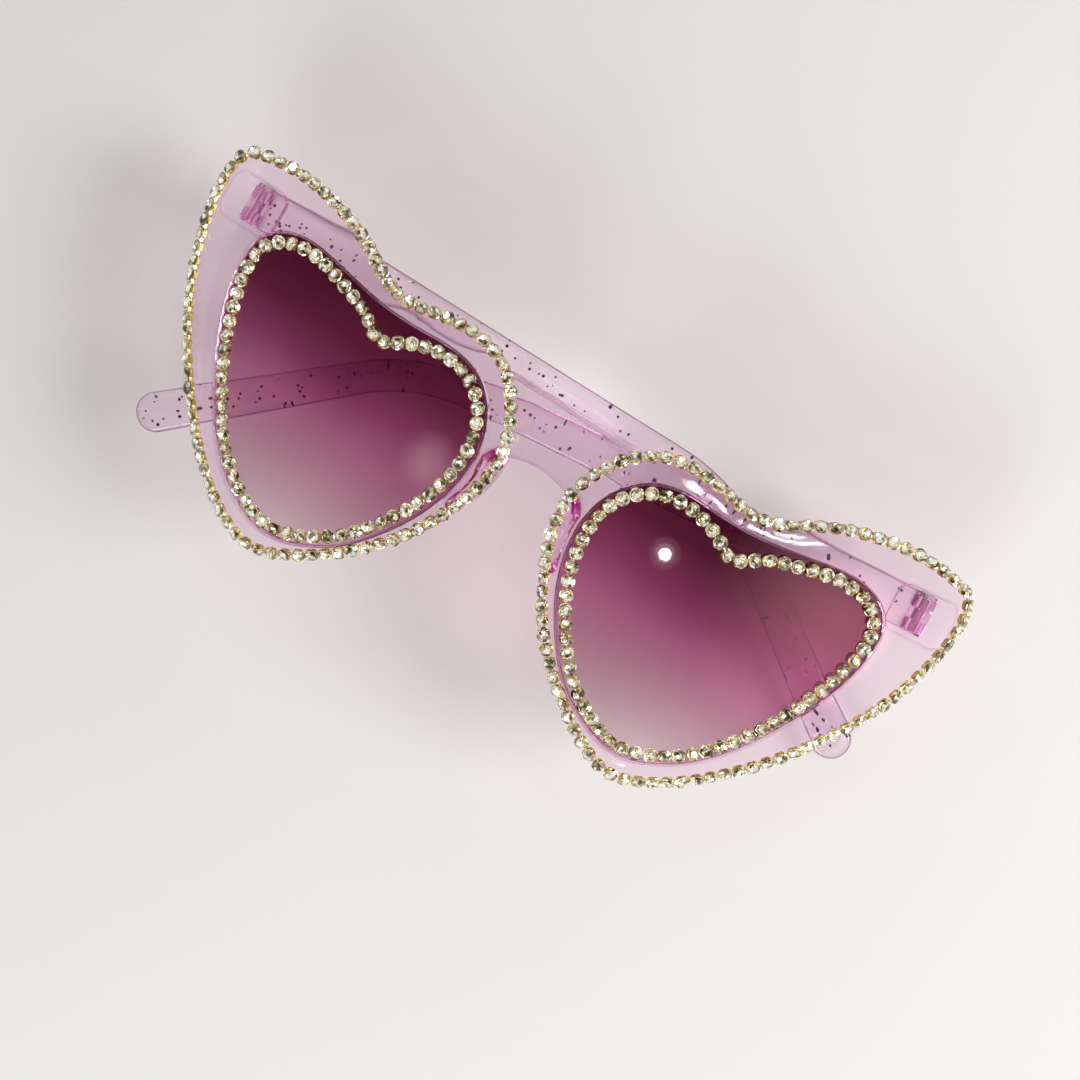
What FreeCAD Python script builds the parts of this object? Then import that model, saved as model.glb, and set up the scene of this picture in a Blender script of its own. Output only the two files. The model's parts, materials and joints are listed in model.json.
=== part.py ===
import FreeCAD, Part
import math
import os
from FreeCAD import Vector

# Heart-shaped sunglasses, folded, in millimetres and degrees.
# X runs to the wearer's left, the front faces -Y, Z is up, and the origin is the middle of the nose bridge.

# Front moulding: two flat hearts that sweep back from the bridge
half_span = 77.0           # bridge centre to the outermost line of stones
heart_drop = 45.5          # bridge centre down to the lowest line of stones
sweep = 8.0                # each heart turns back by this much
front_thickness = 3.6
edge_margin = 0.95         # plastic left outside the outer line of stones
edge_round = 1.3
edge_turns = [0.0, 30.0, 60.0, 90.0]
lip = 0.35                 # bevel round each aperture

# Bridge and moulded nose pads
bridge_top = 6.0
bridge_arch_top = -6.0     # highest point of the arch over the nose
bridge_arch_foot = -9.3
bridge_half_width = 14.5
bridge_foot_half_width = 9.5
bridge_blend = 8.0         # the bridge is a bent band up to here, then flat
bridge_recess = 0.4        # bridge's face behind the hearts' faces, so that the chains pass over it
pad_centre_x = 9.4
pad_centre_z = -13.5
pad_half_width = 2.5
pad_half_depth = 5.2
pad_half_height = 7.5
pad_splay = 14.0           # the pads spread apart downwards
pad_ledge = 0.5            # flat left between each pad and the aperture's bevel

# Lenses, held in a groove round each aperture
lens_thickness = 1.8
lens_recess = 0.9          # lens face behind the front's face
groove_depth = 0.55
groove_clearance = 0.08

# Hinges: two knuckles on the front, one on the temple, and a screw
hinge_inset = 7.3          # screw axis inside the outermost line of stones
hinge_z = 6.4
boss_face_y = 14.6         # flat back of the hinge boss
boss_width = 11.0
boss_height = 8.6
boss_corner = 2.0
boss_offset = 0.4          # the boss is centred this far outside the screw
axis_standoff = 2.2        # screw axis behind the boss
knuckle_radius = 2.0
knuckle_height = 2.0
knuckle_gap = 0.1
relief_clearance = 0.15
screw_radius = 0.7
screw_clearance = 0.05
screw_head_radius = 1.35
screw_head_height = 0.8
screw_slot_width = 0.35
screw_slot_depth = 0.35

# Temples
temple_thickness = 3.4
temple_root_height = 7.3
temple_bend_height = 5.6
temple_tip_height = 7.6
temple_inset = 0.4         # inner face outside the screw axis, when open
temple_butt_gap = 0.35     # between the open temple's root and the boss
temple_round = 0.9
temple_length = 151.0      # along the middle, from the screw to the centre of the round tip
bend_at = 100.0            # along the middle, from the screw to the corner of the bend
bend = 35.0                # the ear end drops by this much
bend_radius = 36.0

# The left temple is folded flat first, and the right one lies across it.
# The left screw leans, so that temple slopes down across the front, and the two pass one above the other.
left_lean = 5.6
right_lean = 0.0
left_fold = 90.0
right_fold = 85.5

# Cup chains
stone_pitch = 2.55
stone_radius = 1.2
stone_table_share = 0.62
stone_height = 0.85
stone_sides = 6
cup_width = 1.8
cup_height = 0.8
link_width = 0.5
link_height = 0.4
seat_gap = 0.01            # film of glue

overrun = 20.0             # how far a cutting body passes what it cuts
offset_samples = 32

# Outlines of the wearer's left heart, as shares of half_span and heart_drop
outer_trim_shares = [
    (0.967, 0.312), (0.850, 0.336), (0.732, 0.308), (0.621, 0.242), (0.549, 0.174), (0.484, 0.138),
    (0.392, 0.154), (0.301, 0.171), (0.203, 0.130), (0.131, 0.004), (0.094, -0.187), (0.120, -0.396),
    (0.196, -0.633), (0.307, -0.826), (0.412, -0.947), (0.502, -0.996), (0.588, -0.952),
    (0.719, -0.787), (0.850, -0.527), (0.954, -0.209), (1.000, 0.110), (0.995, 0.248),
]
inner_trim_shares = [
    (0.846, -0.022), (0.821, 0.057), (0.771, 0.097), (0.693, 0.097), (0.610, 0.059), (0.529, 0.004),
    (0.478, -0.042), (0.438, -0.013), (0.399, 0.018), (0.335, 0.042), (0.261, 0.024), (0.201, -0.048),
    (0.169, -0.171), (0.167, -0.297), (0.196, -0.473), (0.259, -0.651), (0.340, -0.796), (0.412, -0.866),
    (0.486, -0.897), (0.565, -0.862), (0.654, -0.760), (0.739, -0.578), (0.804, -0.363), (0.839, -0.176),
]
aperture_shares = [
    (0.865, -0.018), (0.837, 0.081), (0.780, 0.127), (0.699, 0.127), (0.601, 0.097), (0.464, 0.068),
    (0.353, 0.073), (0.256, 0.053), (0.190, -0.031), (0.152, -0.167), (0.150, -0.305), (0.179, -0.486),
    (0.244, -0.670), (0.329, -0.822), (0.407, -0.895), (0.488, -0.927), (0.574, -0.888), (0.667, -0.780),
    (0.754, -0.591), (0.822, -0.369), (0.859, -0.176),
]
hinge_x = half_span - hinge_inset
along_x = Vector(1, 0, 0)
along_y = Vector(0, 1, 0)
along_z = Vector(0, 0, 1)
origin = Vector(0, 0, 0)


def closed_curve(shares):
    curve = Part.BSplineCurve()
    points = [Vector(half_span * across, 0, heart_drop * up) for across, up in shares]
    curve.interpolate(Points=points, PeriodicFlag=True)
    return curve


def outward(curve, parameter):
    # the outlines run anticlockwise seen from the front
    tangent = curve.tangent(parameter)[0]
    return Vector(tangent.z, 0, -tangent.x)


def offset_curve(curve, distance):
    first, last = curve.FirstParameter, curve.LastParameter
    points = []
    for step in range(offset_samples):
        parameter = first + (last - first) * step / offset_samples
        points.append(curve.value(parameter) + outward(curve, parameter) * distance)
    moved = Part.BSplineCurve()
    moved.interpolate(Points=points, PeriodicFlag=True)
    return moved


def plate(edges, depth, thickness):
    # flat plate with this outline, its face this far behind the front's face
    body = Part.Face(Part.Wire(edges)).extrude(along_y * thickness)
    body.translate(along_y * depth)
    return body


def wire_at(curve, distance, depth):
    wire = Part.Wire([offset_curve(curve, distance).toShape()])
    wire.translate(along_y * depth)
    return wire


def swept_back(shape):
    shape.rotate(origin, along_z, sweep)
    return shape


def mirrored(shape):
    return shape.mirror(origin, along_x)


def behind_face(depth):
    # everything farther back than this depth behind the left heart's face
    reach = half_span + overrun
    corner = Vector(-reach, depth, -reach)
    return swept_back(Part.makeBox(2 * reach, reach, 2 * reach, corner))


def heart_blank():
    # the edge is rounded front and back, through outlines that step in and down
    steps = []
    for turn in map(math.radians, edge_turns):
        inset = edge_round * (1 - math.sin(turn))
        steps.append((edge_margin - inset, edge_round * (1 - math.cos(turn))))
    wires = [wire_at(outer_trim, distance, depth) for distance, depth in steps]
    wires += [wire_at(outer_trim, distance, front_thickness - depth) for distance, depth in reversed(steps)]
    return Part.makeLoft(wires, True, True)


def aperture_cut():
    # the bevels run on past both faces
    past = 2 * lip
    levels = [(past + lip, -past), (0, lip), (0, front_thickness - lip), (past + lip, front_thickness + past)]
    return Part.makeLoft([wire_at(aperture, distance, depth) for distance, depth in levels], True, True)


def sweep_point(along, depth):
    turn = math.radians(sweep)
    across = along * math.cos(turn) - depth * math.sin(turn)
    back = along * math.sin(turn) + depth * math.cos(turn)
    return Vector(across, back, 0)


def flipped(point):
    return Vector(-point.x, point.y, point.z)


def bridge_band():
    # plan of the bridge: an arc in the middle, tangent to both hearts
    arc_centre = sweep_point(bridge_blend, bridge_blend / math.tan(math.radians(sweep)))
    edges = []
    ends = []
    for depth in (bridge_recess, front_thickness):
        near = sweep_point(bridge_blend, depth)
        far = sweep_point(bridge_half_width + edge_round, depth)
        crown = Vector(0, arc_centre.y - (arc_centre - near).Length, 0)
        edges.append(Part.Arc(near, crown, flipped(near)).toShape())
        edges += [Part.makeLine(near, far), Part.makeLine(flipped(near), flipped(far))]
        ends.append(far)
    edges += [Part.makeLine(*ends), Part.makeLine(flipped(ends[0]), flipped(ends[1]))]
    face = Part.Face(Part.Wire(Part.__sortEdges__(edges)))
    body = face.extrude(along_z * (bridge_top - bridge_arch_foot))
    body.translate(along_z * bridge_arch_foot)
    # the top's edges are rounded, except the two short ones at its ends
    upper = [edge for edge in body.Edges if edge.BoundBox.ZMin > origin.z]
    rounded = sorted(upper, key=lambda edge: edge.Length)[2:]
    return body.makeFillet(edge_round, rounded)


def bridge_blank():
    top_left = Vector(-bridge_half_width, 0, bridge_top)
    top_right = flipped(top_left)
    foot_left = Vector(-bridge_foot_half_width, 0, bridge_arch_foot)
    foot_right = flipped(foot_left)
    arch = Part.Arc(foot_right, Vector(0, 0, bridge_arch_top), foot_left).toShape()
    sides = [(top_left, top_right), (top_right, foot_right), (foot_left, top_left)]
    edges = [Part.makeLine(*side) for side in sides]
    outline = plate(edges[:2] + [arch] + edges[2:], -overrun, 2 * overrun)
    return bridge_band().common(outline)


def nose_pad():
    scale = FreeCAD.Matrix()
    scale.scale(pad_half_width, pad_half_depth, pad_half_height)
    pad = Part.makeSphere(1.0).transformGeometry(scale)
    pad.rotate(origin, along_y, -pad_splay)
    pad.translate(Vector(pad_centre_x, front_thickness, pad_centre_z))
    # nothing of the pad shows on the front's face
    room = Part.makeBox(half_span, half_span, 2 * half_span, Vector(0, front_thickness / 2, -half_span))
    return pad.common(room)


def place_hinge(shape, lean):
    shape.rotate(origin, along_y, -lean)
    shape.translate(Vector(hinge_x, boss_face_y + axis_standoff, hinge_z))
    return shape


def knuckle_cylinder(radius, bottom, height):
    return Part.makeCylinder(radius, height, Vector(0, 0, bottom), along_z)


stack_height = 3 * knuckle_height + 2 * knuckle_gap
knuckle_bottoms = [-stack_height / 2, stack_height / 2 - knuckle_height]


def hinge_boss(lean):
    depth = boss_face_y + axis_standoff
    low = Vector(boss_offset - boss_width / 2, -depth, -boss_height / 2)
    boss = Part.makeBox(boss_width, depth - axis_standoff, boss_height, low)
    corners = [edge for edge in boss.Edges if abs(edge.tangentAt(edge.FirstParameter).y) == 1]
    boss = boss.makeFillet(boss_corner, corners)
    boss = place_hinge(boss, lean)
    # the boss starts inside the wing
    return boss.common(behind_face(front_thickness / 2))


def front_knuckles(lean):
    parts = []
    for bottom in knuckle_bottoms:
        barrel = knuckle_cylinder(knuckle_radius, bottom, knuckle_height)
        web_corner = Vector(-knuckle_radius, -axis_standoff - relief_clearance, bottom)
        web = Part.makeBox(knuckle_radius, axis_standoff + relief_clearance, knuckle_height, web_corner)
        parts.append(barrel.fuse(web))
    knuckles = parts[0].fuse(parts[1])
    bore = knuckle_cylinder(screw_radius + screw_clearance, -stack_height, 2 * stack_height)
    return place_hinge(knuckles.cut(bore), lean)


def hinge_screw(lean):
    shaft = knuckle_cylinder(screw_radius, -stack_height / 2, stack_height)
    head = knuckle_cylinder(screw_head_radius, stack_height / 2, screw_head_height)
    slot_corner = Vector(-screw_head_radius, -screw_slot_width / 2, 0)
    slot = Part.makeBox(2 * screw_head_radius, screw_slot_width, overrun, slot_corner)
    slot.translate(along_z * (stack_height / 2 + screw_head_height - screw_slot_depth))
    return place_hinge(shaft.fuse(head).cut(slot), lean)


def rounded_corner(start, corner, end, radius):
    # two straight runs joined by a tangent arc
    incoming = (corner - start).normalize()
    outgoing = (end - corner).normalize()
    half_turn = incoming.getAngle(outgoing) / 2
    run = radius * math.tan(half_turn)
    first = corner - incoming * run
    last = corner + outgoing * run
    inward = (outgoing - incoming).normalize()
    middle = corner + inward * (radius / math.cos(half_turn) - radius)
    return [Part.makeLine(start, first), Part.Arc(first, middle, last).toShape(), Part.makeLine(last, end)]


def temple_outline():
    # drawn open, in the plane of Y (back) and Z
    turn = math.radians(bend)
    corner = Vector(0, bend_at, 0)
    onward = Vector(0, math.cos(turn), -math.sin(turn))
    upward = Vector(0, math.sin(turn), math.cos(turn))
    bisector = Vector(0, math.sin(turn / 2), math.cos(turn / 2)) / math.cos(turn / 2)
    end = corner + onward * (temple_length - bend_at)
    tip_half = temple_tip_height / 2
    edges = []
    for side in (1, -1):
        root = Vector(0, temple_butt_gap - axis_standoff, side * temple_root_height / 2)
        bend_corner = corner + bisector * (side * temple_bend_height / 2)
        radius = bend_radius + side * temple_bend_height / 2
        edges += rounded_corner(root, bend_corner, end + upward * (side * tip_half), radius)
    edges.append(Part.makeLine(edges[0].Vertexes[0].Point, edges[3].Vertexes[0].Point))
    tip = [end + upward * tip_half, end + onward * tip_half, end - upward * tip_half]
    edges.append(Part.Arc(*tip).toShape())
    return Part.Wire(Part.__sortEdges__(edges))


def temple(lean, fold):
    bar = Part.Face(temple_outline()).extrude(along_x * temple_thickness)
    bar.translate(along_x * temple_inset)
    # the root's edges stay square, because they butt on the boss
    root = temple_butt_gap - axis_standoff
    rounded = []
    for edge in bar.Edges:
        crosses = abs(edge.tangentAt(edge.FirstParameter).x) == 1
        if not crosses and edge.BoundBox.YMax > root + temple_inset:
            rounded.append(edge)
    bar = bar.makeFillet(temple_round, rounded)
    room_radius = knuckle_radius + relief_clearance
    inner_half = knuckle_height / 2
    for bottom in (-inner_half - overrun, inner_half):
        bar = bar.cut(knuckle_cylinder(room_radius, bottom, overrun))
    barrel = knuckle_cylinder(knuckle_radius, -inner_half, knuckle_height)
    bore = knuckle_cylinder(screw_radius + screw_clearance, -stack_height, 2 * stack_height)
    body = bar.fuse(barrel).cut(bore)
    body.rotate(origin, along_z, fold)
    return place_hinge(body, lean)


def lens():
    outline = offset_curve(aperture, groove_depth - groove_clearance)
    return swept_back(plate([outline.toShape()], lens_recess, lens_thickness))


def front():
    heart = heart_blank().cut(aperture_cut())
    view = plate([offset_curve(aperture, lip + pad_ledge).toShape()], -overrun, 2 * overrun)
    pad = nose_pad().cut(view)
    groove_outline = offset_curve(aperture, groove_depth)
    groove_width = lens_thickness + 2 * groove_clearance
    groove = plate([groove_outline.toShape()], lens_recess - groove_clearance, groove_width)
    heart = swept_back(heart.fuse(pad).cut(groove))
    pieces = [mirrored(heart), bridge_blank()]
    pieces += [hinge_boss(left_lean), front_knuckles(left_lean)]
    pieces += [mirrored(hinge_boss(right_lean)), mirrored(front_knuckles(right_lean))]
    return heart.fuse(pieces)


def tapered(low_points, high_points):
    # solid with flat faces between two like polygons
    count = len(low_points)
    loops = [low_points, high_points]
    for index in range(count):
        after = (index + 1) % count
        loops.append([low_points[index], low_points[after], high_points[after], high_points[index]])
    faces = [Part.Face(Part.makePolygon(loop + loop[:1])) for loop in loops]
    return Part.Solid(Part.Shell(faces))


def polygon(radius, sides, height):
    turns = [2 * math.pi * side / sides for side in range(sides)]
    return [Vector(radius * math.cos(turn), radius * math.sin(turn), height) for turn in turns]


def chain(curve, depth, tilt):
    # stones at even steps along the line, seated on the face this far behind the front's face
    count = round(curve.length() / stone_pitch)
    step = curve.length() / count
    cup = Part.makeBox(cup_width, cup_width, cup_height, Vector(-cup_width / 2, -cup_width / 2, 0))
    table = stone_radius * stone_table_share
    stone_top = cup_height + stone_height
    stone = tapered(polygon(stone_radius, stone_sides, cup_height), polygon(table, stone_sides, stone_top))
    # on the rounded edge the seat drops below the face
    drop = edge_round * (1 - math.cos(tilt))
    frames = []
    for index in range(count):
        parameter = curve.parameterAtDistance(step * index)
        side = outward(curve, parameter)
        up = side * math.sin(tilt) - along_y * math.cos(tilt)
        inward = side * -math.cos(tilt) - along_y * math.sin(tilt)
        place = curve.value(parameter) + along_y * (depth + drop) + up * seat_gap
        frames.append((place, inward.cross(up), inward, up))
    cups, stones, links = [], [], []
    for place, forward, inward, up in frames:
        matrix = FreeCAD.Matrix(
            forward.x, inward.x, up.x, place.x,
            forward.y, inward.y, up.y, place.y,
            forward.z, inward.z, up.z, place.z,
            0, 0, 0, 1)
        for shape, group in ((cup, cups), (stone, stones)):
            copy = shape.copy()
            copy.Placement = FreeCAD.Placement(matrix)
            group.append(copy)
    for here, following in zip(frames, frames[1:] + frames[:1]):
        links.append(link_between(link_end(here, 1), link_end(following, -1)))
    return cups, stones, links


def link_end(frame, side):
    # three corners of a link where it leaves the front or back wall of a cup
    place, forward, inward, up = frame
    low = place + forward * (side * cup_width / 2) + up * ((cup_height - link_height) / 2)
    half = inward * (link_width / 2)
    return [low - half, low + half, low + up * link_height]


def link_between(start, end):
    # three-cornered bar, its sides split into triangles because the two ends may be twisted
    loops = [start, end]
    for index in range(3):
        after = (index + 1) % 3
        loops.append([start[index], start[after], end[after]])
        loops.append([start[index], end[after], end[index]])
    faces = [Part.Face(Part.makePolygon(loop + loop[:1])) for loop in loops]
    return Part.Solid(Part.Shell(faces))


def save(shape, name):
    shape.exportStep(f"parts/{name}.step")
    print(name, "valid" if shape.isValid() else "NOT VALID", round(shape.Volume, 1), "mm3")


os.makedirs("parts", exist_ok=True)
outer_trim = closed_curve(outer_trim_shares)
inner_trim = closed_curve(inner_trim_shares)
aperture = closed_curve(aperture_shares)

save(front(), "frame_front")
left_lens = lens()
save(left_lens, "lens_left")
save(mirrored(left_lens), "lens_right")
save(temple(left_lean, left_fold), "temple_left")
save(mirrored(temple(right_lean, right_fold)), "temple_right")
save(hinge_screw(left_lean), "hinge_screw_left")
save(mirrored(hinge_screw(right_lean)), "hinge_screw_right")

edge_tilt = math.asin((edge_round - edge_margin) / edge_round)
trims = [("outer", outer_trim, 0, edge_tilt), ("inner", inner_trim, lens_recess, 0)]
for trim_name, trim_curve, trim_depth, trim_tilt in trims:
    groups = chain(trim_curve, trim_depth, trim_tilt)
    for kind, solids in zip(("cups", "stones", "links"), groups):
        group = swept_back(Part.makeCompound(solids))
        save(group, f"chain_{trim_name}_left_{kind}")
        save(mirrored(group), f"chain_{trim_name}_right_{kind}")
    print(trim_name, "stones on each side:", len(groups[0]))
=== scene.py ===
import json
import math
import random

import bmesh
import bpy
from mathutils import Matrix, Vector
from mathutils.bvhtree import BVHTree


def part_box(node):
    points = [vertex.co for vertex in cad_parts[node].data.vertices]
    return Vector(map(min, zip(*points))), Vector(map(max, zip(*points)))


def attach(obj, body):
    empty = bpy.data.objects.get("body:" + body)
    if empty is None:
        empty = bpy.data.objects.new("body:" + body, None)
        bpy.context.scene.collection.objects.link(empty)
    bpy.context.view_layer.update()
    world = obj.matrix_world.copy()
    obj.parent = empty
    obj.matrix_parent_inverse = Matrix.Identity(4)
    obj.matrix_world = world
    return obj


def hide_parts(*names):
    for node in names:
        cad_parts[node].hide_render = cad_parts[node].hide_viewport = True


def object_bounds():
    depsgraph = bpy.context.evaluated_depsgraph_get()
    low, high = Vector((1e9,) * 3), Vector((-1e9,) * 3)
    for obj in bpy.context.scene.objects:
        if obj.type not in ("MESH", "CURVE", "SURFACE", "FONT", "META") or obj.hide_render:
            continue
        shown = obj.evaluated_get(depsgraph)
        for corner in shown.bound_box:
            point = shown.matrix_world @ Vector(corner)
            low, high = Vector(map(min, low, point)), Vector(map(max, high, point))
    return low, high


# Heart-shaped sunglasses, folded and lying on a pale table, seen from in front of the lenses.
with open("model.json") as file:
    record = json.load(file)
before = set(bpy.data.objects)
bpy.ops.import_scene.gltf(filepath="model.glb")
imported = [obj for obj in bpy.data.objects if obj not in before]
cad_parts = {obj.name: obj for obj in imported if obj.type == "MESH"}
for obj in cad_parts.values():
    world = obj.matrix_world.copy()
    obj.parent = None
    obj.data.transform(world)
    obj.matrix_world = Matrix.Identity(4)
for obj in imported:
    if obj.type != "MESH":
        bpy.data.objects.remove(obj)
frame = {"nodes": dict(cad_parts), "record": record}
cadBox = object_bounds()
nodes = frame["nodes"]
mm = 0.001
sides = ("left", "right")
lines = ("outer", "inner")
print("frame loaded:", len(nodes), "nodes")


def linearColour(hexCode):
    # sRGB hex to the linear values that the shaders use
    channels = [int(hexCode[place:place + 2], 16) / 255 for place in (1, 3, 5)]
    straight = [c / 12.92 if c <= 0.04045 else ((c + 0.055) / 1.055) ** 2.4 for c in channels]
    return (*straight, 1.0)


def addNode(tree, kind, inputs=None, **settings):
    # one node with its settings; an input is a value or a socket to link
    node = tree.nodes.new("ShaderNode" + kind)
    for name, value in settings.items():
        setattr(node, name, value)
    for name, value in (inputs or {}).items():
        if isinstance(value, bpy.types.NodeSocket):
            tree.links.new(value, node.inputs[name])
        else:
            node.inputs[name].default_value = value
    return node


def newMaterial(name):
    material = bpy.data.materials.new(name)
    material.use_nodes = True
    material.node_tree.nodes.clear()
    return material, material.node_tree


def addRamp(tree, factor, stops):
    # colour ramp through stops, each a place and an sRGB hex colour
    node = addNode(tree, "ValToRGB", {"Fac": factor})
    elements = node.color_ramp.elements
    while len(elements) < len(stops):
        elements.new(1.0)
    for element, (place, hexCode) in zip(elements, stops):
        element.position = place
        element.color = linearColour(hexCode)
    return node


def finishMaterial(tree, surface, volume=None):
    output = addNode(tree, "OutputMaterial", {"Surface": surface})
    if volume:
        tree.links.new(volume, output.inputs["Volume"])


def letLightThrough(tree, solid, tint):
    # a clear piece throws a pale tinted shadow, where refraction alone would leave it black
    path = addNode(tree, "LightPath")
    clear = addNode(tree, "BsdfTransparent", {"Color": tint})
    mix = addNode(tree, "MixShader", {"Fac": path.outputs["Is Shadow Ray"], 1: solid,
                                      2: clear.outputs["BSDF"]})
    return mix.outputs["Shader"]


def paint(thing, material):
    thing.data.materials.clear()
    thing.data.materials.append(material)


def addMesh(name, points, faces):
    mesh = bpy.data.meshes.new(name)
    mesh.from_pydata(points, [], faces)
    piece = bpy.data.objects.new(name, mesh)
    bpy.context.scene.collection.objects.link(piece)
    return piece


def ringPoints(count, radius, height, offset=0.0):
    turns = [2 * math.pi * (step + offset) / count for step in range(count)]
    return [Vector((radius * math.cos(turn), radius * math.sin(turn), height)) for turn in turns]


def ringFaces(start, count, levels):
    # skin over a stack of rings of points, with an end face on the first and on the last
    faces = [[start + step for step in range(count)][::-1]]
    faces.append([start + (levels - 1) * count + step for step in range(count)])
    for level in range(levels - 1):
        base = start + level * count
        for step in range(count):
            after = (step + 1) % count
            faces.append([base + step, base + after, base + count + after, base + count + step])
    return faces


# Clear lilac polycarbonate, injection moulded in a polished tool: glassy faces with a faint waviness, nearly
# colourless across the thin wing. Darker pink is painted at rounded edges and in the hinge knuckles: painted
# shade that stands in for light going a long way through the moulding there.
plastic = {
    "absorbs": "#EEACE3", "density": 85.0, "ior": 1.54, "shadowTint": "#D2D9D3",
    "polish": (0.015, 0.07), "smudgeMm": 14.0, "smudgeDetail": 3.0, "smudgeSpan": (0.35, 0.75),
    "waveMm": 5.0, "waveDetail": 1.0, "waveHeightMm": 0.012,
    "flatTint": "#FFFFFF", "paintedEdgeShade": {"front": "#D9A8CE", "temple": "#743A6B"},
    "edgeMm": 0.9, "edgeSamples": 4, "edgeRoom": (0.9, 0.55), "edgeTurn": (0.16, 0.5),
    "paintedKnuckleShade": "#FDE6F6", "knuckleReachMm": (2.05, 2.3), "knuckleSqueeze": 0.12,
    "paintedTrappedGlow": "#E58AC9", "glowAfter": 12, "glowStrength": 0.7,
}


def mouldedPolycarbonate(part):
    material, tree = newMaterial(f"mouldedLilacPolycarbonate.{part}")
    place = addNode(tree, "TexCoord").outputs["Object"]
    smudge = addNode(tree, "TexNoise", {"Vector": place, "Scale": 1 / (plastic["smudgeMm"] * mm),
                                        "Detail": plastic["smudgeDetail"]})
    low, high = plastic["polish"]
    start, full = plastic["smudgeSpan"]
    gloss = addNode(tree, "MapRange", {"Value": smudge.outputs["Fac"], "From Min": start, "From Max": full,
                                       "To Min": low, "To Max": high})
    wave = addNode(tree, "TexNoise", {"Vector": place, "Scale": 1 / (plastic["waveMm"] * mm),
                                      "Detail": plastic["waveDetail"]})
    ripple = addNode(tree, "Bump", {"Height": wave.outputs["Fac"], "Strength": 1.0,
                                    "Distance": plastic["waveHeightMm"] * mm})
    # painted edge shade: where there is little room inside the moulding, or its face turns away, a darker
    # pink is painted
    room = addNode(tree, "AmbientOcclusion", {"Distance": plastic["edgeMm"] * mm},
                   samples=plastic["edgeSamples"], inside=True, only_local=True).outputs["AO"]
    start, full = plastic["edgeRoom"]
    corner = addNode(tree, "MapRange", {"Value": room, "From Min": start, "From Max": full})
    turned = addNode(tree, "LayerWeight").outputs["Facing"]
    start, full = plastic["edgeTurn"]
    bend = addNode(tree, "MapRange", {"Value": turned, "From Min": start, "From Max": full})
    edge = addNode(tree, "Math", {0: corner.outputs["Result"], 1: bend.outputs["Result"]},
                   operation="MAXIMUM")
    tone = addNode(tree, "MixRGB", {"Fac": edge.outputs["Value"],
                                    "Color1": linearColour(plastic["flatTint"]),
                                    "Color2": linearColour(plastic["paintedEdgeShade"][part])})
    # painted knuckle shade: squeezing heights makes the reach of a knuckle a tall barrel round its screw,
    # painted pink inside
    squeeze = Vector((1, 1, plastic["knuckleSqueeze"]))
    near, far = (reach * mm for reach in plastic["knuckleReachMm"])
    for joint in frame["record"]["behaviour"]["joints"]:
        level = addNode(tree, "VectorMath", {0: place, 1: squeeze}, operation="MULTIPLY")
        away = addNode(tree, "VectorMath", {0: level.outputs["Vector"], 1: Vector(joint["pos_m"]) * squeeze},
                       operation="DISTANCE")
        inside = addNode(tree, "MapRange", {"Value": away.outputs["Value"], "From Min": far,
                                            "From Max": near})
        tone = addNode(tree, "MixRGB", {"Fac": inside.outputs["Result"], "Color1": tone.outputs["Color"],
                                        "Color2": linearColour(plastic["paintedKnuckleShade"])})
    body = addNode(tree, "BsdfPrincipled", {
        "Base Color": tone.outputs["Color"], "Transmission Weight": 1.0, "IOR": plastic["ior"],
        "Roughness": gloss.outputs["Result"], "Normal": ripple.outputs["Normal"]})
    # painted glow: after many turns the moulding itself glows pink, in place of the light that stays trapped
    # in it
    depth = addNode(tree, "LightPath").outputs["Ray Depth"]
    trapped = addNode(tree, "Math", {0: depth, 1: plastic["glowAfter"]}, operation="GREATER_THAN")
    glow = addNode(tree, "Emission", {"Color": linearColour(plastic["paintedTrappedGlow"]),
                                      "Strength": plastic["glowStrength"]})
    clear = addNode(tree, "MixShader", {"Fac": trapped.outputs["Value"], 1: body.outputs["BSDF"],
                                        2: glow.outputs["Emission"]})
    tint = addNode(tree, "VolumeAbsorption", {"Color": linearColour(plastic["absorbs"]),
                                              "Density": plastic["density"]})
    surface = letLightThrough(tree, clear.outputs["Shader"], linearColour(plastic["shadowTint"]))
    finishMaterial(tree, surface, tint.outputs["Volume"])
    return material


# Dip-tinted acrylic lens sheet: the dye bath leaves the top dark plum and fades to almost clear at the point.
# The cut edge is painted pink, a painted glow for the light that the sheet carries to it.
lensLook = {
    "stops": [(0.0, "#E2CBD5"), (0.14, "#D2B4C1"), (0.3, "#C596AB"), (0.46, "#BC7899"), (0.62, "#9A4E73"),
              (0.78, "#752C4B"), (1.0, "#55172F")],
    "edge": "#F09AD2", "edgeSpan": (0.3, 0.7), "ior": 1.49, "shadowTint": "#D0C6CC",
    "polish": (0.0, 0.035), "wipeMm": 9.0, "wipeDetail": 4.0, "wipeSpan": (0.4, 0.8),
    "driftMm": 30.0, "driftDetail": 1.0, "drift": 0.07,
}


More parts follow.
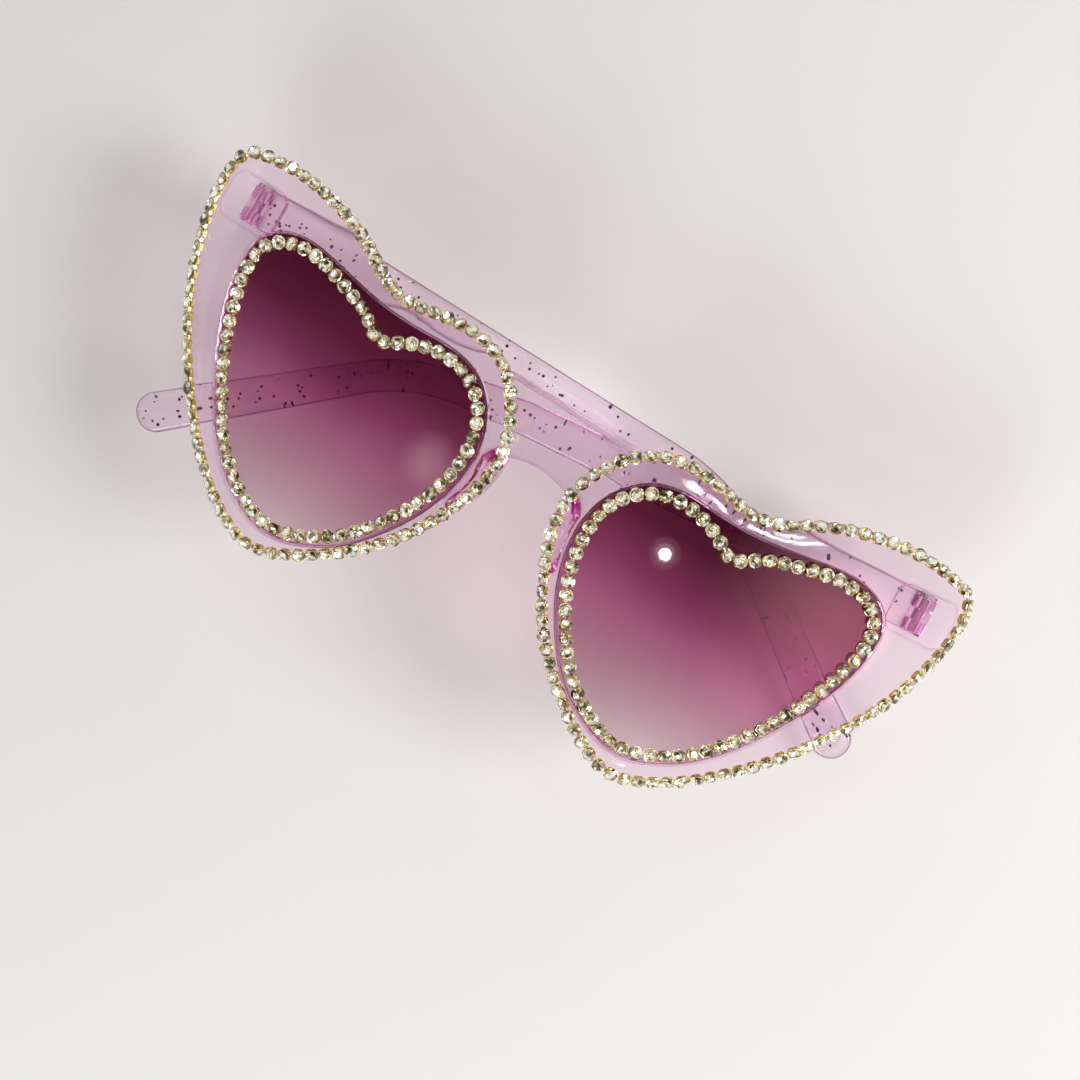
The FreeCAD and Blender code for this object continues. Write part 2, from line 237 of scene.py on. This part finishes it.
def tintedAcrylic():
    material, tree = newMaterial("dipTintedAcrylic")
    place = addNode(tree, "TexCoord").outputs["Object"]
    low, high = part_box("lens_left")
    height = addNode(tree, "SeparateXYZ", {"Vector": place}).outputs["Z"]
    rise = addNode(tree, "MapRange", {"Value": height, "From Min": low.z, "From Max": high.z})
    drift = addNode(tree, "TexNoise", {"Vector": place, "Scale": 1 / (lensLook["driftMm"] * mm),
                                       "Detail": lensLook["driftDetail"]})
    sway = addNode(tree, "MapRange", {"Value": drift.outputs["Fac"], "To Min": -lensLook["drift"],
                                      "To Max": lensLook["drift"]})
    level = addNode(tree, "Math", {0: rise.outputs["Result"], 1: sway.outputs["Result"]}, operation="ADD")
    dye = addRamp(tree, level.outputs["Value"], lensLook["stops"])
    # painted edge glow: faces that turn away from the front are painted pink
    normal = addNode(tree, "TexCoord").outputs["Normal"]
    facing = addNode(tree, "SeparateXYZ", {"Vector": normal}).outputs["Y"]
    flat = addNode(tree, "Math", {0: facing}, operation="ABSOLUTE")
    start, full = lensLook["edgeSpan"]
    face = addNode(tree, "MapRange", {"Value": flat.outputs["Value"], "From Min": start, "From Max": full})
    tone = addNode(tree, "MixRGB", {"Fac": face.outputs["Result"], "Color1": linearColour(lensLook["edge"]),
                                    "Color2": dye.outputs["Color"]})
    wipe = addNode(tree, "TexNoise", {"Vector": place, "Scale": 1 / (lensLook["wipeMm"] * mm),
                                      "Detail": lensLook["wipeDetail"]})
    clear, dull = lensLook["polish"]
    start, full = lensLook["wipeSpan"]
    gloss = addNode(tree, "MapRange", {"Value": wipe.outputs["Fac"], "From Min": start, "From Max": full,
                                       "To Min": clear, "To Max": dull})
    sheet = addNode(tree, "BsdfPrincipled", {
        "Base Color": tone.outputs["Color"], "Transmission Weight": 1.0, "IOR": lensLook["ior"],
        "Roughness": gloss.outputs["Result"]})
    surface = letLightThrough(tree, sheet.outputs["BSDF"], linearColour(lensLook["shadowTint"]))
    finishMaterial(tree, surface)
    return material


# Stamped brass with a thin gold flash: bright yellow, a little uneven from the plating barrel.
goldLook = {"stops": [(0.3, "#CBB25A"), (0.65, "#EFE3A6")], "patchMm": 2.5, "patchDetail": 3.0,
            "roughness": (0.16, 0.34)}


def goldFlashedBrass():
    material, tree = newMaterial("goldFlashedBrass")
    place = addNode(tree, "TexCoord").outputs["Object"]
    patch = addNode(tree, "TexNoise", {"Vector": place, "Scale": 1 / (goldLook["patchMm"] * mm),
                                       "Detail": goldLook["patchDetail"]})
    tone = addRamp(tree, patch.outputs["Fac"], goldLook["stops"])
    low, high = goldLook["roughness"]
    dull = addNode(tree, "MapRange", {"Value": patch.outputs["Fac"], "To Min": high, "To Max": low})
    metal = addNode(tree, "BsdfPrincipled", {"Base Color": tone.outputs["Color"], "Metallic": 1.0,
                                             "Roughness": dull.outputs["Result"]})
    finishMaterial(tree, metal.outputs["BSDF"])
    return material


# Machine-cut crystal glass: clear facets that throw back white sparks and dark flashes.
crystalLook = {"tint": "#FDFDFB", "ior": 1.56, "roughness": 0.01}


def cutCrystal():
    material, tree = newMaterial("machineCutCrystal")
    glass = addNode(tree, "BsdfPrincipled", {
        "Base Color": linearColour(crystalLook["tint"]), "Transmission Weight": 1.0,
        "IOR": crystalLook["ior"], "Roughness": crystalLook["roughness"]})
    finishMaterial(tree, glass.outputs["BSDF"])
    return material


# Silver foil on the back of each stone, seen through the crystal as a mirror, with painted reflections:
# straw-coloured and dark patches that stand in for the gold cups and dark surroundings seen in the facets.
foilAndPaintedReflectionLook = {"stops": [(0.35, "#4A463B"), (0.42, "#ADA58B"), (0.485, "#E6E2D8"), (0.555, "#FCFCFB")],
            "patchMm": 0.9, "patchDetail": 1.0, "roughness": 0.06}


def silverFoil():
    material, tree = newMaterial("vacuumSilveredFoil")
    place = addNode(tree, "TexCoord").outputs["Object"]
    patch = addNode(tree, "TexNoise", {"Vector": place, "Scale": 1 / (foilAndPaintedReflectionLook["patchMm"] * mm),
                                       "Detail": foilAndPaintedReflectionLook["patchDetail"]})
    # painted reflections: straw-coloured and dark patches on the mirror
    tone = addRamp(tree, patch.outputs["Fac"], foilAndPaintedReflectionLook["stops"])
    mirror = addNode(tree, "BsdfPrincipled", {"Base Color": tone.outputs["Color"], "Metallic": 1.0,
                                              "Roughness": foilAndPaintedReflectionLook["roughness"]})
    finishMaterial(tree, mirror.outputs["BSDF"])
    return material


# Turned steel screw, nickel plated: grey mirror with fine lathe marks.
nickelLook = {"colour": "#CFCBC4", "markMm": 0.12, "roughness": (0.18, 0.32)}


def nickelPlatedSteel():
    material, tree = newMaterial("nickelPlatedSteel")
    place = addNode(tree, "TexCoord").outputs["Object"]
    mark = addNode(tree, "TexNoise", {"Vector": place, "Scale": 1 / (nickelLook["markMm"] * mm)})
    low, high = nickelLook["roughness"]
    dull = addNode(tree, "MapRange", {"Value": mark.outputs["Fac"], "To Min": low, "To Max": high})
    metal = addNode(tree, "BsdfPrincipled", {"Base Color": linearColour(nickelLook["colour"]),
                                             "Metallic": 1.0, "Roughness": dull.outputs["Result"]})
    finishMaterial(tree, metal.outputs["BSDF"])
    return material


# Cut polyester glitter, dyed purple: tiny plates, dark except where one catches the light.
glitterLook = {"stops": [(0.4, "#1E0A20"), (0.6, "#5E2158")], "patchMm": 3.0, "metallic": 0.6,
               "roughness": 0.3}


def purpleGlitter():
    material, tree = newMaterial("dyedPolyesterGlitter")
    place = addNode(tree, "TexCoord").outputs["Object"]
    patch = addNode(tree, "TexNoise", {"Vector": place, "Scale": 1 / (glitterLook["patchMm"] * mm)})
    tone = addRamp(tree, patch.outputs["Fac"], glitterLook["stops"])
    plate = addNode(tree, "BsdfPrincipled", {"Base Color": tone.outputs["Color"],
                                             "Metallic": glitterLook["metallic"],
                                             "Roughness": glitterLook["roughness"]})
    finishMaterial(tree, plate.outputs["BSDF"])
    return material


frontPlastic = mouldedPolycarbonate("front")
templePlastic = mouldedPolycarbonate("temple")
gold = goldFlashedBrass()
crystal = cutCrystal()
foil = silverFoil()
lensTint = tintedAcrylic()
nickel = nickelPlatedSteel()
glitter = purpleGlitter()
print("materials made:", len(bpy.data.materials))


# The moulded pieces, lenses, links and screws are the frame's own meshes.
shading = {"weldMm": 0.002, "sharpAngle": 24.0}


def smoothPiece(name, material):
    # curved faces shade smoothly, and edges sharper than the angle stay crisp
    piece = nodes[name]
    paint(piece, material)
    if "custom_normal" in piece.data.attributes:
        piece.data.attributes.remove(piece.data.attributes["custom_normal"])
    piece.data.shade_smooth()
    weld = piece.modifiers.new("weldSeams", "WELD")
    weld.merge_threshold = shading["weldMm"] * mm
    split = piece.modifiers.new("crispEdges", "EDGE_SPLIT")
    split.split_angle = math.radians(shading["sharpAngle"])


smoothPiece("frame_front", frontPlastic)
for side in sides:
    smoothPiece(f"temple_{side}", templePlastic)
    smoothPiece(f"lens_{side}", lensTint)
    smoothPiece(f"hinge_screw_{side}", nickel)
    for line in lines:
        paint(nodes[f"chain_{line}_{side}_links"], gold)
print("mouldings, lenses, screws and links dressed")


# The chains: each cup and stone of the frame gives a seat for a finer one.
seatLook = {"mergeMm": 0.005}


def looseParts(node):
    # corner points of each separate solid in a node, in the mesh's own order, so that each run gives the same
    shell = bmesh.new()
    shell.from_mesh(node.data)
    bmesh.ops.remove_doubles(shell, verts=shell.verts, dist=seatLook["mergeMm"] * mm)
    met = set()
    parts = []
    for first in shell.verts:
        if first in met:
            continue
        met.add(first)
        front = [first]
        found = []
        while front:
            vertex = front.pop()
            found.append(vertex.co.copy())
            for edge in vertex.link_edges:
                other = edge.other_vert(vertex)
                if other not in met:
                    met.add(other)
                    front.append(other)
        parts.append(found)
    shell.free()
    return parts


def middle(points):
    return sum(points, Vector()) / len(points)


def seatFrames(cups, stones):
    # for each cup, a matrix from the middle of its base: X along the chain, Z out through the stone
    centres = [middle(points) for points in stones]
    places = [middle(points) for points in cups]
    seats = []
    for points, centre in zip(cups, places):
        beside = sorted(places, key=lambda p: (p - centre).length)[1] - centre
        outwards = (min(centres, key=lambda c: (c - centre).length) - centre).normalized()
        corners = sorted(points, key=lambda p: (p - points[0]).length)
        edges = [corner - points[0] for corner in corners[1:4]]
        height = edges[0].length
        flat = max(edges, key=lambda e: abs(e.normalized().dot(beside)))
        along = (flat - outwards * flat.dot(outwards)).normalized()
        turn = Matrix((along, outwards.cross(along), outwards)).transposed().to_4x4()
        seats.append(Matrix.Translation(centre - outwards * (height / 2)) @ turn)
    return seats


# A foil-backed stone with a flat table and a ring of large facets, in millimetres, with heights from the base
# of its cup. Wobble and lean are in degrees.
stoneLook = {"radius": 1.3, "table": 0.62, "girdle": (0.84, 0.92), "tableHeight": 1.32, "culet": 0.44,
             "facets": 8, "wobble": 9.0, "seed": 5, "lean": 15.0}


def facetedStone():
    count = stoneLook["facets"]
    low, high = stoneLook["girdle"]
    points = ringPoints(count, stoneLook["table"], stoneLook["tableHeight"])
    points += ringPoints(count, stoneLook["radius"], high)
    points += ringPoints(count, stoneLook["radius"], low, 0.5)  # the back's facets stand half a step round
    points.append(Vector((0, 0, stoneLook["culet"])))
    upper, lower, tip = count, 2 * count, 3 * count
    crown = [list(range(count))]
    back = []
    for step in range(count):
        after = (step + 1) % count
        crown.append([step, upper + step, upper + after, after])
        back.append([upper + step, lower + step, upper + after])
        back.append([lower + step, lower + after, upper + after])
        back.append([lower + step, tip, lower + after])
    return points, crown, back


# A stamped cup with four claws folded over the stone, in millimetres
cupLook = {"width": 1.8, "corner": 0.3, "height": 0.8, "wall": 0.14, "floor": 0.16,
           "clawWidth": 0.2, "clawThickness": 0.1, "clawTaper": 0.45, "clawSides": 6, "claws": 4,
           "clawPath": [(1.1, 0.45), (1.29, 0.8), (1.31, 0.92), (1.25, 1.0), (1.18, 1.05)]}


def clawedCup():
    half, cut, wall = cupLook["width"] / 2, cupLook["corner"], cupLook["wall"]

    def squareRing(reach, height):
        corner = cut * reach / half
        flat = reach - corner
        outline = [(reach, -flat), (reach, flat), (flat, reach), (-flat, reach),
                   (-reach, flat), (-reach, -flat), (-flat, -reach), (flat, -reach)]
        return [Vector((x, y, height)) for x, y in outline]

    rings = [squareRing(half - wall / 2, 0), squareRing(half, wall / 2), squareRing(half, cupLook["height"]),
             squareRing(half - wall, cupLook["height"]), squareRing(half - wall, cupLook["floor"])]
    points = [point for ring in rings for point in ring]
    faces = ringFaces(0, len(rings[0]), len(rings))
    path = cupLook["clawPath"]
    last = len(path) - 1
    for claw in range(cupLook["claws"]):
        turn = Matrix.Rotation(2 * math.pi * (claw + 0.5) / cupLook["claws"], 3, "Z")  # one at each corner
        faces += ringFaces(len(points), cupLook["clawSides"], len(path))
        for index, (reach, height) in enumerate(path):
            taper = 1.0 - cupLook["clawTaper"] * index / last
            wide = cupLook["clawWidth"] / 2 * taper
            thick = cupLook["clawThickness"] / 2 * taper
            ahead = Vector(path[min(index + 1, last)]) - Vector(path[max(index - 1, 0)])
            lean = math.atan2(ahead.y, ahead.x)
            normal = Vector((math.sin(lean), 0, -math.cos(lean)))
            spot = Vector((reach, 0, height))
            for across in ringPoints(cupLook["clawSides"], 1.0, 0.0):
                offset = Vector((0, wide * across.x, 0)) + normal * (thick * across.y)
                points.append(turn @ (spot + offset))
    return points, faces


def leaned(seats):
    # the outer chain rolls over the rounded edge of the front, so its stones look a little outwards
    centre = middle([seat.translation for seat in seats])
    turned = []
    for seat in seats:
        outside = 1 if seat.to_3x3().col[1].dot(seat.translation - centre) > 0 else -1
        turned.append(seat @ Matrix.Rotation(math.radians(-stoneLook["lean"] * outside), 4, "X"))
    return turned


def wobbled(seats):
    # each stone sits a little crooked in its cup, turned its own way
    chance = random.Random(stoneLook["seed"])
    turned = []
    for seat in seats:
        pivot = Matrix.Translation((0, 0, stoneLook["girdle"][0] * mm))
        lean = [math.radians(chance.gauss(0, stoneLook["wobble"])) for _ in range(2)]
        spin = Matrix.Rotation(chance.uniform(0, math.pi), 4, "Z")
        tilt = Matrix.Rotation(lean[0], 4, "X") @ Matrix.Rotation(lean[1], 4, "Y")
        turned.append(seat @ pivot @ tilt @ spin @ pivot.inverted())
    return turned


def setAll(name, template, seats, *materials):
    # copies of one small piece on every seat of a chain, as one mesh
    points, *groups = template
    corners = []
    faces = []
    kinds = []
    for seat in seats:
        start = len(corners)
        corners += [seat @ (point * mm) for point in points]
        for kind, group in enumerate(groups):
            faces += [[start + corner for corner in face] for face in group]
            kinds += [kind] * len(group)
    piece = addMesh(name, corners, faces)
    for material in materials:
        piece.data.materials.append(material)
    piece.data.polygons.foreach_set("material_index", kinds)
    piece.data.update()
    repair = bmesh.new()
    repair.from_mesh(piece.data)
    bmesh.ops.recalc_face_normals(repair, faces=repair.faces)
    repair.to_mesh(piece.data)
    repair.free()
    return piece


for side in sides:
    for line in lines:
        chain = f"chain_{line}_{side}"
        seats = seatFrames(looseParts(nodes[f"{chain}_cups"]), looseParts(nodes[f"{chain}_stones"]))
        if line == "outer":
            seats = leaned(seats)
        gems = setAll(f"{line}_{side}_crystals", facetedStone(), wobbled(seats), crystal, foil)
        settings = setAll(f"{line}_{side}_claw_cups", clawedCup(), seats, gold)
        for piece, kind, slot in ((gems, "stones", "crystal"), (settings, "cups", "chain_metal")):
            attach(piece, "front")
            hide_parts(f"{chain}_{kind}")
        print(chain, "set with", len(seats), "stones")


# Glitter plates scattered through the clear plastic of both temples
flakes = {"count": 160, "radiusMm": (0.17, 0.36), "sides": 6, "thicknessMm": 0.03, "coverMm": 0.5,
          "lean": 0.35, "seed": 11, "probe": (0.31, 0.52, 0.79), "probeStepMm": 0.001}


def isInside(tree, spot):
    # a line from inside a closed shell crosses it an odd number of times
    ahead = Vector(flakes["probe"]).normalized()
    past = ahead * flakes["probeStepMm"] * mm
    crossings = 0
    hit = tree.ray_cast(spot, ahead)[0]
    while hit is not None:
        crossings += 1
        hit = tree.ray_cast(hit + past, ahead)[0]
    return crossings % 2 == 1


def scatterGlitter(side, seed):
    temple = nodes[f"temple_{side}"]
    shell = bmesh.new()
    shell.from_mesh(temple.data)
    tree = BVHTree.FromBMesh(shell)
    shell.free()
    low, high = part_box(f"temple_{side}")
    chance = random.Random(seed)
    cover = flakes["coverMm"] * mm
    points, faces = [], []
    made = 0
    while made < flakes["count"]:
        spot = Vector([chance.uniform(a, b) for a, b in zip(low, high)])
        _, normal, _, distance = tree.find_nearest(spot)
        if distance < cover or not isInside(tree, spot):
            continue
        radius = chance.uniform(*flakes["radiusMm"]) * mm
        tilt = Vector([chance.gauss(0, flakes["lean"]) for _ in range(3)])
        facing = (normal + tilt).normalized().to_track_quat("Z", "Y")
        heights = [level * flakes["thicknessMm"] * mm for level in (-0.5, 0.5)]
        faces += ringFaces(len(points), flakes["sides"], len(heights))
        for height in heights:
            points += [spot + facing @ point for point in ringPoints(flakes["sides"], radius, height)]
        made += 1
    piece = addMesh(f"glitter_{side}", points, faces)
    paint(piece, glitter)
    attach(piece, f"{side}_arm")


for number, side in enumerate(sides):
    scatterGlitter(side, flakes["seed"] + number)
print("glitter scattered in both temples")


# Camera at the photograph's angle, worked out for an image 1080 pixels across
cameraLook = {"yaw": 3.02, "pitch": 7.38, "roll": 31.6, "targetMm": (6.51, 0.0, -16.25),
              "distanceMm": 288.97, "nearMm": 10.0, "focalPixels": 1669.45, "imagePixels": 1080,
              "sensorMm": 36.0}


def placeCamera():
    yaw, pitch, roll = (math.radians(cameraLook[name]) for name in ("yaw", "pitch", "roll"))
    back = Vector((math.sin(yaw) * math.cos(pitch), -math.cos(yaw) * math.cos(pitch), math.sin(pitch)))
    right = Vector((math.cos(yaw), math.sin(yaw), 0))
    up = back.cross(right)
    across = right * math.cos(roll) + up * math.sin(roll)
    rise = up * math.cos(roll) - right * math.sin(roll)
    spot = Vector(cameraLook["targetMm"]) * mm + back * cameraLook["distanceMm"] * mm
    data = bpy.data.cameras.new("camera")
    data.sensor_width = cameraLook["sensorMm"]
    data.lens = cameraLook["sensorMm"] * cameraLook["focalPixels"] / cameraLook["imagePixels"]
    data.clip_start = cameraLook["nearMm"] * mm
    camera = bpy.data.objects.new("camera", data)
    camera.matrix_world = Matrix.Translation(spot) @ Matrix((across, rise, back)).transposed().to_4x4()
    bpy.context.scene.collection.objects.link(camera)
    bpy.context.scene.camera = camera
    return camera


camera = placeCamera()


# The table that the folded glasses lie on stands behind them here, because the part's frame is upright as
# worn. Its back lets the light and the view through, so the glasses can be seen from behind.
tableLook = {"colour": "#EDECE9", "roughness": 0.7, "gapMm": 1.0, "reachMm": 2500.0}


def layTable():
    depth = cadBox[1].y + tableLook["gapMm"] * mm
    reach = tableLook["reachMm"] * mm
    corners = [(-reach, depth, -reach), (reach, depth, -reach), (reach, depth, reach), (-reach, depth, reach)]
    table = addMesh("tableTop", corners, [list(range(len(corners)))])
    material, tree = newMaterial("mattLacqueredTable")
    top = addNode(tree, "BsdfPrincipled", {"Base Color": linearColour(tableLook["colour"]),
                                           "Roughness": tableLook["roughness"]})
    clear = addNode(tree, "BsdfTransparent")
    behind = addNode(tree, "NewGeometry").outputs["Backfacing"]
    mix = addNode(tree, "MixShader", {"Fac": behind, 1: top.outputs["BSDF"], 2: clear.outputs["BSDF"]})
    finishMaterial(tree, mix.outputs["Shader"])
    paint(table, material)


layTable()


# Soft studio light: places and sizes in millimetres in the part's frame, power in watts
lamps = {
    "keySoftbox": {"place": (620, -420, 200), "size": 360, "power": 4.4, "colour": "#FFFCF8"},
    "fillSoftbox": {"place": (-620, -300, 320), "size": 420, "power": 0.4, "colour": "#F6F8FF"},
    "topSoftbox": {"place": (60, -300, 660), "size": 300, "power": 0.25, "colour": "#FFFFFF"},
    "lowSoftbox": {"place": (60, -380, -620), "size": 360, "power": 2.15, "colour": "#FFFFFF"},
    "rearSoftbox": {"place": (-300, 520, 380), "size": 420, "power": 1.2, "colour": "#FFFFFF"},
    "sparkHigh": {"place": (-90, -560, 420), "size": 22, "power": 0.12, "colour": "#FFFFFF"},
    "sparkRight": {"place": (520, -460, 330), "size": 22, "power": 0.12, "colour": "#FFF6E6"},
    "sparkLow": {"place": (40, -520, -430), "size": 22, "power": 0.12, "colour": "#F2F6FF"},
    "sparkLeft": {"place": (-520, -420, -260), "size": 22, "power": 0.12, "colour": "#FFFFFF"},
    "rimStreak": {"place": (213, -617, 48), "size": 22, "height": 80, "power": 0.095, "colour": "#FFFFFF"},
    "rimStreakLow": {"place": (238, -611, 41), "size": 12, "height": 60, "power": 0.04, "colour": "#FFFFFF"},
}
# a bulb and its glow, which the photograph shows mirrored in one lens
mirrored = {
    "bulb": {"pixel": (665, 554), "size": 6.5, "power": 0.0083, "colour": "#FFFFFF"},
    "bulbGlow": {"pixel": (665, 553), "size": 11.0, "power": 0.0009, "colour": "#FFF4F6"},
    "bulbHaze": {"pixel": (665, 553), "size": 18.0, "power": 0.0006, "colour": "#FFF4F6"},
}
mirrorLook = {"lens": "lens_left", "distanceMm": 650.0}


def hangLamp(name, look, place):
    data = bpy.data.lights.new(name, "AREA")
    data.shape = "ELLIPSE"
    data.size = look["size"] * mm
    data.size_y = look.get("height", look["size"]) * mm
    data.energy = look["power"]
    data.color = linearColour(look["colour"])[:3]
    lamp = bpy.data.objects.new(name, data)
    lamp.location = place
    aim = Vector(cameraLook["targetMm"]) * mm
    lamp.rotation_euler = (aim - place).to_track_quat("-Z", "Y").to_euler()
    lamp.visible_camera = False
    bpy.context.scene.collection.objects.link(lamp)


def mirrorRay(pixels, lensName):
    # a thing along this line, from a point on the lens, is mirrored at that pixel
    half = cameraLook["imagePixels"] / 2
    across, down = ((pixel - half) / cameraLook["focalPixels"] for pixel in pixels)
    turn = camera.matrix_world.to_3x3()
    eye = camera.matrix_world.translation
    ray = (turn @ Vector((across, -down, -1))).normalized()
    lens = nodes[lensName].data
    front = max(lens.polygons, key=lambda face: -face.normal.y * face.area)
    spot = eye + ray * ((front.center - eye).dot(front.normal) / ray.dot(front.normal))
    return spot, ray.reflect(front.normal)


for name, look in lamps.items():
    hangLamp(name, look, Vector(look["place"]) * mm)
for name, look in mirrored.items():
    spot, ray = mirrorRay(look["pixel"], mirrorLook["lens"])
    hangLamp(name, look, spot + ray * mirrorLook["distanceMm"] * mm)

# A black flag behind the camera, which only reflections see: it keeps the lenses deep and the metal crisp.
# Two soft pink patches glow on it, and each shows in one lens where the photograph has a sheen.
flagLook = {
    "colour": "#1C181A", "roughness": 0.9, "depthMm": -660.0, "radiusMm": 640.0, "sides": 48,
    "patches": [
        {"lens": "lens_left", "pixel": (838, 622), "radiusMm": 98.0, "glow": 5.0, "colour": "#FFA9BF"},
        {"lens": "lens_right", "pixel": (428, 462), "radiusMm": 24.0, "glow": 3.4, "colour": "#FFDDE2"},
    ],
}


def standFlag():
    depth = flagLook["depthMm"] * mm
    circle = ringPoints(flagLook["sides"], flagLook["radiusMm"] * mm, 0.0)
    corners = [(point.x, depth, point.y) for point in circle]
    flag = addMesh("blackFlag", corners, [list(range(len(corners)))])
    material, tree = newMaterial("blackFlagFelt")
    felt = addNode(tree, "BsdfPrincipled", {"Base Color": linearColour(flagLook["colour"]),
                                            "Roughness": flagLook["roughness"]})
    place = addNode(tree, "TexCoord").outputs["Object"]
    surface = felt.outputs["BSDF"]
    for patch in flagLook["patches"]:
        spot, ray = mirrorRay(patch["pixel"], patch["lens"])
        centre = spot + ray * ((depth - spot.y) / ray.y)
        away = addNode(tree, "VectorMath", {0: place, 1: centre}, operation="DISTANCE")
        soft = addNode(tree, "MapRange", {"Value": away.outputs["Value"], "From Max": patch["radiusMm"] * mm,
                                          "To Min": patch["glow"], "To Max": 0.0},
                       interpolation_type="SMOOTHSTEP")
        glow = addNode(tree, "Emission", {"Color": linearColour(patch["colour"]),
                                          "Strength": soft.outputs["Result"]})
        surface = addNode(tree, "AddShader", {0: surface, 1: glow.outputs["Emission"]}).outputs["Shader"]
    finishMaterial(tree, surface)
    paint(flag, material)
    flag.visible_camera = False
    flag.visible_diffuse = False
    flag.visible_transmission = False
    flag.visible_shadow = False


standFlag()

# Pale room, seen at full strength by the camera, in metal and through glass, and giving a softer light
worldLook = {"background": "#E6E4E0", "seenLight": 1.0, "roomLight": 0.28}


def paintWorld():
    world = bpy.data.worlds.new("paleRoom")
    world.use_nodes = True
    tree = world.node_tree
    tree.nodes.clear()
    path = addNode(tree, "LightPath").outputs
    seen = path["Is Camera Ray"]
    for kind in ("Is Glossy Ray", "Is Transmission Ray"):
        seen = addNode(tree, "Math", {0: seen, 1: path[kind]}, operation="MAXIMUM").outputs["Value"]
    strength = addNode(tree, "Mix", {0: seen, 2: worldLook["roomLight"], 3: worldLook["seenLight"]})
    sky = addNode(tree, "Background", {"Color": linearColour(worldLook["background"]),
                                       "Strength": strength.outputs[0]})
    addNode(tree, "OutputWorld", {"Surface": sky.outputs["Background"]})
    bpy.context.scene.world = world


paintWorld()
bpy.context.scene.view_settings.view_transform = "Standard"
lightTurns = 32  # light turns many times inside the clear mouldings
for limit in ("max_bounces", "transmission_bounces", "glossy_bounces"):
    setattr(bpy.context.scene.cycles, limit, lightTurns)
print("table, lamps and camera placed")
